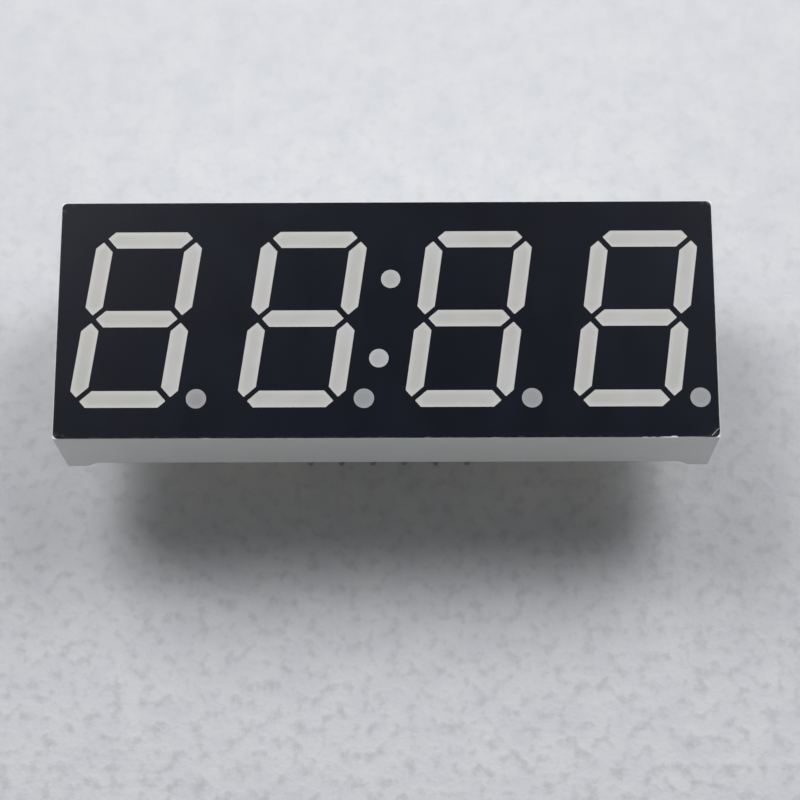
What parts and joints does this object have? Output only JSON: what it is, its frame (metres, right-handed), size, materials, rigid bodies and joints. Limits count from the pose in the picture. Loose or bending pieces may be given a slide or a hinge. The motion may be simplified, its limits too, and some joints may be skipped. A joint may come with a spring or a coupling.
{
  "type": "seven segment display module",
  "caption": "Clock display module with slanted seven segment digits, decimal points and a colon in a black-faced white housing on two rows of wire pins.",
  "frame": {"origin": "centre of the pin pattern on the seating plane, where the corner feet meet a circuit board", "axes": "+X along the long side from the first digit to the last, +Y to the top of the digits, +Z out of the face; the pins point along -Z"},
  "size_m": [0.0502, 0.019, 0.0145],
  "materials": {
    "housing_white": "fine satin moulding",
    "face_black": "satin black printed layer",
    "segment_resin": "milky cast resin, smooth",
    "dot_resin": "milky cast resin, smooth",
    "board_laminate": "glass fibre laminate",
    "rear_resin": "cast resin with a free surface",
    "led_die": "sawn crystal",
    "bond_wire_gold": "drawn fine wire",
    "solder": "bright solder",
    "tinned_wire": "bright tinned wire"
  },
  "bodies": {
    "root": {"reflector_shell": "housing_white", "face_mask": "face_black", "circuit_board": "board_laminate", "back_potting": "rear_resin", "digit_1_segment_a": "segment_resin", "digit_1_segment_b": "segment_resin", "digit_1_segment_c": "segment_resin", "digit_1_segment_d": "segment_resin", "digit_1_segment_e": "segment_resin", "digit_1_segment_f": "segment_resin", "digit_1_segment_g": "segment_resin", "digit_2_segment_a": "segment_resin", "digit_2_segment_b": "segment_resin", "digit_2_segment_c": "segment_resin", "digit_2_segment_d": "segment_resin", "digit_2_segment_e": "segment_resin", "digit_2_segment_f": "segment_resin", "digit_2_segment_g": "segment_resin", "digit_3_segment_a": "segment_resin", "digit_3_segment_b": "segment_resin", "digit_3_segment_c": "segment_resin", "digit_3_segment_d": "segment_resin", "digit_3_segment_e": "segment_resin", "digit_3_segment_f": "segment_resin", "digit_3_segment_g": "segment_resin", "digit_4_segment_a": "segment_resin", "digit_4_segment_b": "segment_resin", "digit_4_segment_c": "segment_resin", "digit_4_segment_d": "segment_resin", "digit_4_segment_e": "segment_resin", "digit_4_segment_f": "segment_resin", "digit_4_segment_g": "segment_resin", "digit_1_point": "dot_resin", "digit_2_point": "dot_resin", "digit_3_point": "dot_resin", "digit_4_point": "dot_resin", "colon_upper": "dot_resin", "colon_lower": "dot_resin", "digit_1_led_dice": "led_die", "digit_2_led_dice": "led_die", "digit_3_led_dice": "led_die", "digit_4_led_dice": "led_die", "colon_led_dice": "led_die", "bond_wires": "bond_wire_gold", "solder_joints": "solder", "pin_1": "tinned_wire", "pin_2": "tinned_wire", "pin_3": "tinned_wire", "pin_4": "tinned_wire", "pin_5": "tinned_wire", "pin_6": "tinned_wire", "pin_7": "tinned_wire", "pin_8": "tinned_wire", "pin_9": "tinned_wire", "pin_10": "tinned_wire", "pin_11": "tinned_wire", "pin_12": "tinned_wire"}
  },
  "joints": []
}
